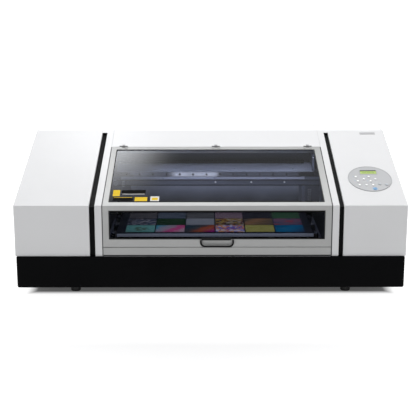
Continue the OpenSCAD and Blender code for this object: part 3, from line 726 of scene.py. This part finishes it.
def rail_holes():
    """The rail's counterbored holes, each with the head of its screw deep inside."""
    low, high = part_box("x_rail")
    z = (low.z + high.z) / 2
    bores, heads = bmesh.new(), bmesh.new()
    for i in range(19):
        x = RAIL_FIRST_X + i * RAIL_PITCH
        place = at((x, low.y + 0.05 * MM, z), (0, -1, 0))
        add_washer(bores, 9.4 * MM, 7.9 * MM, 0.0, 0.25 * MM, place, 32)
        add_lathe(bores, [(3.95 * MM, 0), (3.95 * MM, 0.3 * MM)],
                  place @ Matrix.Translation((0, 0, -5 * MM)), 24)
        add_lathe(heads, [(3.2 * MM, 0), (3.2 * MM, 1.2 * MM), (1.5 * MM, 1.2 * MM), (1.5 * MM, 0.4 * MM)],
                  place @ Matrix.Translation((0, 0, -4.6 * MM)), 12)
    make("rail_bores", bores, M["hole"], "root")
    make("rail_screws", heads, M["lamp"], "root")


def belt_teeth():
    """Teeth on the inner faces of the carriage belt, one every 5 mm."""
    low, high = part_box("drive_belt")
    radius = 12.5 * MM
    pitch = 5 * MM
    count = int((high.x - low.x - 4 * radius) / pitch)
    bm = bmesh.new()
    for i in range(count):
        x = low.x + 2 * radius + i * pitch
        for z0, z1 in ((low.z + 1.4 * MM, low.z + 2.3 * MM), (high.z - 2.3 * MM, high.z - 1.4 * MM)):
            add_box(bm, (x, low.y, z0), (x + 2.4 * MM, high.y, z1))
    make("belt_teeth", bm, M["belt"], "root")


def side_brackets():
    """Brackets, studs and a row of sensor boards at the chamber's right wall, and one board at its left."""
    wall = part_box("right_side_frame")[0].x
    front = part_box("beam_covers")[0].y
    bm = bmesh.new()
    add_box(bm, (0.4146, front - 2 * MM, 0.262), (0.4281, front + 9 * MM, 0.335), 0.8 * MM)
    add_box(bm, (wall - 3.5 * MM, front - 60 * MM, 0.262), (wall - 0.5 * MM, front + 160 * MM, 0.47),
            0.8 * MM)
    add_box(bm, (0.464, front + 60 * MM, 0.30), (0.474, front + 150 * MM, 0.468), 1 * MM)
    make("right_wall_brackets", bm, M["bracket"], "root")
    bm = bmesh.new()
    for i in range(7):
        z = 0.265 + i * 8 * MM
        add_box(bm, (0.4419, front + 3 * MM, z), (0.4567, front + 9 * MM, z + 5 * MM), 0.5 * MM)
    add_box(bm, (-0.3962, front - 1 * MM, 0.3293), (-0.3854, front + 6 * MM, 0.3569), 0.6 * MM)
    make("sensor_boards", bm, M["plate_grey"], "root")
    bm = bmesh.new()
    for x, z, r in ((0.4625, 0.463, 4.5), (0.4606, 0.4088, 4.0), (0.449, 0.44, 3.0)):
        add_lathe(bm, [(r * MM, 0), (r * MM, 3 * MM), (r * 0.7 * MM, 4 * MM)],
                  at((x, front + 2 * MM, z), (0, -1, 0)), 20)
    make("right_wall_studs", bm, M["screw"], "root", smooth=True)


chamber_lining()
beam_details()
rail_holes()
belt_teeth()
side_brackets()


# ---------------------------------------------------------------- print table
# rows from the front to the back, each card with its style, its inks and the scale of its pattern
CARDS = [
    [("splash", [(0.50, 0.24, 0.09), (0.44, 0.17, 0.05), (0.40, 0.18, 0.06), (0.03, 0.10, 0.06),
                 (0.07, 0.26, 0.20)], 0.9),
     ("sweep", [(0.05, 0.20, 0.22), (0.26, 0.20, 0.20), (0.50, 0.04, 0.14), (0.34, 0.24, 0.22)], 1.0),
     ("sweep", [(0.012, 0.035, 0.045), (0.03, 0.03, 0.03), (0.30, 0.06, 0.02), (0.24, 0.01, 0.10)], 1.0),
     ("shards", [(0.45, 0.40, 0.40), (0.06, 0.06, 0.25), (0.50, 0.18, 0.03), (0.30, 0.05, 0.12),
                 (0.50, 0.45, 0.40)], 9.0),
     ("noise", [(0.26, 0.22, 0.045), (0.34, 0.30, 0.07), (0.18, 0.15, 0.03)], 6.0),
     ("sweep", [(0.004, 0.07, 0.12), (0.003, 0.11, 0.19), (0.01, 0.05, 0.10)], 1.0)],
    [("shards", [(0.012, 0.012, 0.014), (0.16, 0.15, 0.15), (0.02, 0.03, 0.05), (0.12, 0.06, 0.03)], 12.0),
     ("noise", [(0.002, 0.006, 0.003), (0.010, 0.035, 0.012), (0.002, 0.004, 0.003)], 7.0),
     ("noise", [(0.17, 0.168, 0.155), (0.18, 0.178, 0.165), (0.16, 0.158, 0.148)], 2.5),
     ("shards", [(0.10, 0.02, 0.01), (0.22, 0.14, 0.03), (0.02, 0.02, 0.02), (0.26, 0.22, 0.18),
                 (0.03, 0.04, 0.02)], 11.0),
     ("sweep", [(0.04, 0.03, 0.02), (0.18, 0.09, 0.04), (0.10, 0.06, 0.03), (0.06, 0.04, 0.03)], 1.0),
     ("shards", [(0.20, 0.03, 0.04), (0.12, 0.06, 0.08), (0.03, 0.05, 0.08), (0.22, 0.10, 0.10)], 7.0)],
    [("noise", [(0.058, 0.052, 0.050), (0.078, 0.070, 0.064), (0.042, 0.040, 0.038)], 3.0),
     ("noise", [(0.058, 0.070, 0.080), (0.066, 0.080, 0.092), (0.050, 0.060, 0.070)], 2.0),
     ("noise", [(0.052, 0.050, 0.042), (0.090, 0.086, 0.078), (0.036, 0.035, 0.030)], 14.0),
     ("noise", [(0.165, 0.105, 0.110), (0.140, 0.092, 0.096), (0.185, 0.120, 0.125)], 2.6),
     ("noise", [(0.014, 0.014, 0.017), (0.020, 0.020, 0.024), (0.012, 0.012, 0.014)], 4.0),
     ("noise", [(0.026, 0.070, 0.030), (0.034, 0.088, 0.038), (0.022, 0.056, 0.026)], 5.0)],
]


def table_details():
    """Eighteen printed cards in three rows, the table's bright front edge and its corner screws."""
    low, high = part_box("table_top")
    top = high.z
    x0, x1, y0 = -0.3481, 0.3851, FRONT_Y + 0.109
    gap, card_length, pitch_y = 5 * MM, 108 * MM, 113.5 * MM
    pitch_x = (x1 - x0 + gap) / 6
    for row, styles in enumerate(CARDS):
        for column, (style, colours, scale) in enumerate(styles):
            cx = x0 + pitch_x * column + (pitch_x - gap) / 2
            cy = y0 + pitch_y * row + card_length / 2
            bm = bmesh.new()
            add_prism(bm, round_rect(pitch_x - gap, card_length, 3 * MM), 1.2 * MM,
                      Matrix.Translation((cx, cy, top + 0.02 * MM)), 0.3 * MM)
            look = print_pattern(f"card_print_{row}_{column}", style, colours, scale, row * 6 + column)
            make(f"print_card_{row + 1}_{column + 1}", bm, look, "table_body")

    bm = bmesh.new()
    middle, half = 19 * MM, 399 * MM
    add_box(bm, (middle - half, low.y - 3 * MM, top - 12.2 * MM), (middle + half, low.y - 0.02 * MM, top),
            0.8 * MM)
    make("table_front_edge", bm, M["table_bar"], "table_body")

    bm = bmesh.new()
    for x in (low.x + 12 * MM, high.x - 12 * MM):
        for y in (low.y + 14 * MM, (low.y + high.y) / 2, high.y - 14 * MM):
            add_screw(bm, Matrix.Translation((x, y, top)), 3.6 * MM, 1.0 * MM)
    make("table_screws", bm, M["screw"], "table_body", smooth=True)


def add_thread(bm, centre, axis, r, length, pitch):
    """A round-crested screw thread of that pitch, as a strip wound round a rod."""
    turns = int(length / pitch)
    steps = 20
    base = at(centre, axis)
    section = ((-0.36, 0.0), (-0.12, 1.0), (0.12, 1.0), (0.36, 0.0))
    previous = None
    for i in range(turns * steps + 1):
        a = 2 * math.pi * i / steps
        z = pitch * i / steps - turns * pitch / 2
        ring = []
        for w, h in section:
            out = r + h * 0.10 * r
            ring.append(bm.verts.new(base @ Vector((out * math.cos(a), out * math.sin(a), z + w * pitch))))
        if previous:
            for j in range(3):
                bm.faces.new((previous[j], previous[j + 1], ring[j + 1], ring[j]))
        previous = ring


def screw_threads():
    """Threads on the ball screw and on both lift screws."""
    for node, body, axis, pitch in (("y_screw", "y_screw_body", (0, 1, 0), 10 * MM),
                                    ("lift_screw_left", "left_lift_screw", (0, 0, 1), 5 * MM),
                                    ("lift_screw_right", "right_lift_screw", (0, 0, 1), 5 * MM)):
        low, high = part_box(node)
        size = high - low
        length = max(size) - 8 * MM
        bm = bmesh.new()
        add_thread(bm, (low + high) / 2, axis, min(size) / 2, length, pitch)
        make(node + "_thread", bm, M["steel"], body, smooth=True)


table_details()
screw_threads()


# ---------------------------------------------------------------- control panel
KEYS = [f"key_{i}" for i in range(1, 10)] + ["menu_key", "enter_key", "power_key"]


def panel_details():
    """The raised rim, key wells, lamp marks, the power key's ring, the display bezel and key marks."""
    low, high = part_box("control_panel")
    s0, s1, face = slope_reach("control_panel")
    cx, cs = (low.x + high.x) / 2, (s0 + s1) / 2
    width, length = high.x - low.x, s1 - s0
    base = slope_place(cx, cs)

    bm = bmesh.new()
    step = ellipse(width - 5 * MM, length - 5 * MM)
    add_ring(bm, ellipse(width, length), step, face - 1.2 * MM, face + 0.5 * MM, base)
    add_ring(bm, step, ellipse(width - 7 * MM, length - 7 * MM), face - 1.2 * MM, face + 0.15 * MM, base)
    make("panel_rim", bm, M["panel_rim"], "root", smooth=True)

    wells, marks, ring = bmesh.new(), bmesh.new(), bmesh.new()
    for name in KEYS:
        a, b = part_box(name)
        size = b.x - a.x
        place = slope_place(middle_of(name).x, slope_s(middle_of(name)))
        add_washer(wells, size + 2.2 * MM, size + 0.5 * MM, face - 0.3 * MM, face + 0.2 * MM, place)
        if name == "power_key":
            add_washer(ring, size + 6.4 * MM, size + 2.8 * MM, face - 0.3 * MM, face + 0.5 * MM, place, 48)
            continue
        for line, mark in enumerate((9 * MM, 6 * MM)):
            below = size / 2 + (3.4 + line * 2.0) * MM
            add_prism(marks, round_rect(mark, 0.9 * MM, 0.3 * MM), 0.06 * MM,
                      place @ Matrix.Translation((0, -below, face)))
    make("key_wells", wells, M["key_well"], "root", smooth=True)
    make("power_ring", ring, M["key_blue"], "root", smooth=True)

    lamps = bmesh.new()
    for name in ("key_1", "key_2", "key_5", "key_6"):
        place = slope_place(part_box(name)[0].x - 5.2 * MM, slope_s(middle_of(name)) + 1.5 * MM, face)
        add_prism(lamps, round_rect(1.6 * MM, 6.5 * MM, 0.5 * MM), 0.4 * MM, place, 0.15 * MM)
    make("panel_lamps", lamps, M["key_blue"], "root")

    xs = [corner.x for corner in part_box("lcd")]
    ss = slope_reach("lcd")[:2]
    bezel = bmesh.new()
    add_ring(bezel, inset(xs, ss, -3 * MM, 2 * MM), inset(xs, ss, 0.2 * MM, 0.8 * MM),
             face - 0.9 * MM, face + 0.5 * MM, slope_place(0, 0))
    make("display_bezel", bezel, M["panel_rim"], "root")

    for x, s, w in ((cx - 34 * MM, cs + 32 * MM, 22), (cx + 20 * MM, cs + 32 * MM, 30),
                    (cx - 30 * MM, cs - 38 * MM, 40)):
        add_prism(marks, round_rect(w * MM, 0.7 * MM, 0.3 * MM), 0.06 * MM, slope_place(x, s, face))
    make("panel_marks", marks, M["ink_mark"], "root")


def shell_details():
    """The grey plate on the right box, a black strip painting the shadow above the base, a grey strip
    painting the highlight on the base's ledge, the channels' ends, and the bosses and washers under the base."""
    bm = bmesh.new()
    add_prism(bm, rectangle(0.6701, 0.7385, 0.6383, 0.6600, 1.2 * MM), 0.6 * MM, slope_place(0, 0, 0.02 * MM),
              0.2 * MM)
    make("side_box_plate", bm, M["plate_grey"], "root")
    low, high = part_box("base_pan")
    strip_low, strip_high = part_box("lower_front_strip")
    # painted shadow: a black strip standing proud in the gap between the cover and the base
    bm = bmesh.new()
    add_box(bm, (strip_low.x + 1 * MM, FRONT_Y - 0.3 * MM, high.z + 0.05 * MM),
            (strip_high.x - 1 * MM, FRONT_Y + 1 * MM, high.z + 5.8 * MM), 0.1 * MM)
    make("base_gap_painted_shadow", bm, M["gasket"], "root")
    # painted highlight: a grey strip along the base's top edge
    bm = bmesh.new()
    add_box(bm, (strip_low.x + 1 * MM, low.y + 1.8 * MM, high.z - 0.1 * MM),
            (strip_high.x - 1 * MM, FRONT_Y - 0.5 * MM, high.z + 0.12 * MM))
    make("base_ledge", bm, M["ledge"], "root")
    bm = bmesh.new()
    groove_low, groove_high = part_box("trim_channels")
    channel_run = 631.2 * MM
    end_y, end_z = FRONT_Y + channel_run, FOLD_Z + channel_run * math.tan(SLOPE_A)
    for x0, x1 in ((groove_low.x, groove_low.x + 22 * MM), (groove_high.x - 18.5 * MM, groove_high.x)):
        add_box(bm, (x0, end_y - 0.5 * MM, end_z - 10.5 * MM), (x1, end_y - 0.05 * MM, end_z - 0.1 * MM))
    make("channel_ends", bm, M["trim"], "root")
    bm = bmesh.new()
    for x in (-0.735, -0.665, 0.68, 0.742):
        add_lathe(bm, [(7 * MM, 0), (7 * MM, 5 * MM), (5.5 * MM, 6.5 * MM)],
                  at((x, low.y + 34 * MM, low.z), (0, 0, -1)), 24)
    make("base_screw_bosses", bm, M["foot"], "root", smooth=True)
    bm = bmesh.new()
    for x in (-0.556, 0.556):
        for y in (FRONT_Y + 110 * MM, FRONT_Y + 825 * MM):
            add_lathe(bm, [(23 * MM, 0), (23 * MM, 2.2 * MM), (21 * MM, 3.2 * MM), (9 * MM, 3.2 * MM)],
                      at((x, y, low.z), (0, 0, -1)), 40)
    make("foot_washers", bm, M["zinc"], "root", smooth=True)


panel_details()
shell_details()


# ---------------------------------------------------------------- back
FAN_X, FAN_Z = 0.640, 0.400


def back_details():
    """Screws round the back panel and the fan, the fan's finger guard and a plain pair of signal sockets."""
    low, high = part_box("rear_panel")
    face = high.y
    back = (0, 1, 0)
    rows = (low.z + 10 * MM, high.z - 10 * MM)
    sides = (low.x + 12 * MM, high.x - 12 * MM)
    fan = (-45.6 * MM, 45.6 * MM)
    places = [(low.x + 14 * MM + i * (high.x - low.x - 28 * MM) / 10, z) for i in range(11) for z in rows]
    places += [(x, z) for z in (0.28, 0.38, 0.47) for x in sides]
    places += [(FAN_X + dx, FAN_Z + dz) for dx in fan for dz in fan]
    bm = bmesh.new()
    for x, z in places:
        add_screw(bm, at((x, face - 0.2 * MM, z), back), 3.6 * MM, 1.8 * MM)
    make("back_screws", bm, M["screw"], "root", smooth=True)

    bm = bmesh.new()
    for inner in (36 * MM, 64 * MM, 92 * MM):
        add_washer(bm, inner + 2 * MM, inner, 0.0, 1.4 * MM, at((FAN_X, face, FAN_Z), back), 64)
    for turn in range(4):
        spoke = Matrix.Rotation(-math.radians(45 + 90 * turn), 4, "Y") @ Matrix.Translation((36 * MM, 0, 0))
        place = Matrix.Translation((FAN_X, face + 0.7 * MM, FAN_Z)) @ spoke
        bmesh.ops.create_cube(bm, size=1.0, matrix=place @ Matrix.Diagonal((44 * MM, 1.4 * MM, 1.6 * MM, 1)))
    make("fan_guard", bm, M["steel"], "root", smooth=True)

    bm = bmesh.new()
    for x in (-0.46, -0.40):
        add_box(bm, (x - 9 * MM, face - 1 * MM, 0.228), (x + 9 * MM, face + 1.2 * MM, 0.246), 0.5 * MM)
    make("signal_socket_frames", bm, M["zinc"], "root")
    bm = bmesh.new()
    for x in (-0.46, -0.40):
        add_box(bm, (x - 6 * MM, face + 1.15 * MM, 0.231), (x + 6 * MM, face + 1.3 * MM, 0.243), 0.05 * MM)
    make("signal_sockets", bm, M["sticker_black"], "root")


back_details()


# ---------------------------------------------------------------- studio
def floor():
    """A pale floor with a painted light pool: its glow is dim under the machine's footprint, strong just
    outside it, weaker a little farther out and strong again far off, so it burns out to white.
    """
    bm = bmesh.new()
    bmesh.ops.create_grid(bm, x_segments=1, y_segments=1, size=45.0)
    mesh = bpy.data.meshes.new("studio_floor")
    bm.to_mesh(mesh)
    bm.free()
    obj = add_object("studio_floor", mesh)
    s = Shade("studio_white")
    x, y = s.axes()[:2]
    beside = s.math("SUBTRACT", s.math("ABSOLUTE", x), 0.735)
    before = s.math("SUBTRACT", s.math("ABSOLUTE", y), 0.385)
    outside = s.math("MAXIMUM", beside, before)
    # painted light and shade: a dim glow under the footprint sets the grey of the shadow there, and a strong
    # glow just outside it paints over the soft shadow round it
    near = s.span(outside, 0.085, 0.90, -0.022, 0.016)
    near = s.math("SUBTRACT", near, s.span(outside, 0.0, 0.62, 0.10, 0.60))
    far = s.span(s.measure("LENGTH"), 0.0, 0.75, 1.0, 3.0)
    p = s.surface((0.55, 0.55, 0.55), 0.9, Specular_IOR_Level=0.0)
    p.inputs["Emission Color"].default_value = (1, 1, 1, 1)
    s.link(s.math("ADD", near, far), p.inputs["Emission Strength"])
    mesh.materials.append(s.owner)


def softbox(name, place, target, size, power, colour=(1, 1, 1), spread=180):
    """A soft rectangular lamp that points at a target and isn't seen itself."""
    light = bpy.data.lights.new(name, "AREA")
    light.shape = "RECTANGLE"
    light.size, light.size_y = size
    light.energy = power
    light.color = colour
    light.spread = math.radians(spread)
    obj = add_object(name, light)
    obj.location = place
    obj.rotation_euler = (Vector(target) - Vector(place)).to_track_quat("-Z", "Y").to_euler()
    obj.visible_camera = False


def world_light():
    """Dim air, brighter overhead and low behind, and a soft bright patch that the sloped pane mirrors."""
    s = Shade(bpy.data.worlds.new("studio_air"), "ShaderNodeOutputWorld")
    bpy.context.scene.world = s.owner
    depth, height = s.axes("Generated")[1:]
    overhead = s.span(height, 0.06, 0.50, 0.0, 1.0)
    behind = s.math("MULTIPLY", s.span(depth, 0.0, 1.5, 0.1, 0.8, "SMOOTHSTEP"),
                    s.span(height, 1.0, 0.0, 0.34, 0.56, "SMOOTHSTEP"))
    towards = s.measure("DOT_PRODUCT", Vector((-0.095, 0.740, 0.666)).normalized(), "Generated")
    spot = s.span(towards, 0.0, 1.0, math.cos(math.radians(5.2)), 1.0)
    patch = s.math("MULTIPLY", s.math("POWER", spot, 4.0), 7.5)
    air = s.node("ShaderNodeBackground")
    air.inputs["Color"].default_value = (0.98, 0.985, 1.0, 1)
    s.link(s.math("ADD", s.math("ADD", overhead, behind), patch), air.inputs["Strength"])
    s.link(air.outputs[0], s.out.inputs["Surface"])


floor()
world_light()
softbox("light_overhead", (0.0, 0.6, 3.1), (0.0, 0.6, 0), (4.6, 3.0), 136)
softbox("light_front_high", (0.5, -3.1, 2.1), (0.1, 0.1, 0.38), (2.2, 0.7), 22)
softbox("light_left_low", (-1.0, -2.1, 0.2), (-0.3, -0.45, 0.28), (0.5, 0.3), 1.0)
softbox("light_chamber", (0.1, -0.25, 0.392), (0.15, 0.2, 0.385), (0.78, 0.02), 0.35, (0.90, 0.93, 1.0))
softbox("light_rail_glint", (-0.073, -0.40, 0.277), (-0.068, 0.13, 0.387), (0.22, 0.03), 0.0034, spread=32)
softbox("light_beam_top", (0.15, 0.0, 0.47), (0.15, 0.17, 0.392), (0.8, 0.02), 0.22, (0.93, 0.95, 1.0),
        spread=70)

CAMERA_PLACE = (-0.022, -4.489, 1.345)
CAMERA_TILT, CAMERA_PAN = math.radians(76.35), math.radians(-0.27)

camera_data = bpy.data.cameras.new("camera")
camera_data.lens = 90
camera_data.sensor_width = 36
camera = add_object("camera", camera_data)
camera.location = CAMERA_PLACE
camera.rotation_euler = (CAMERA_TILT, 0, CAMERA_PAN)
bpy.context.scene.camera = camera
bpy.context.scene.view_settings.view_transform = "Standard"
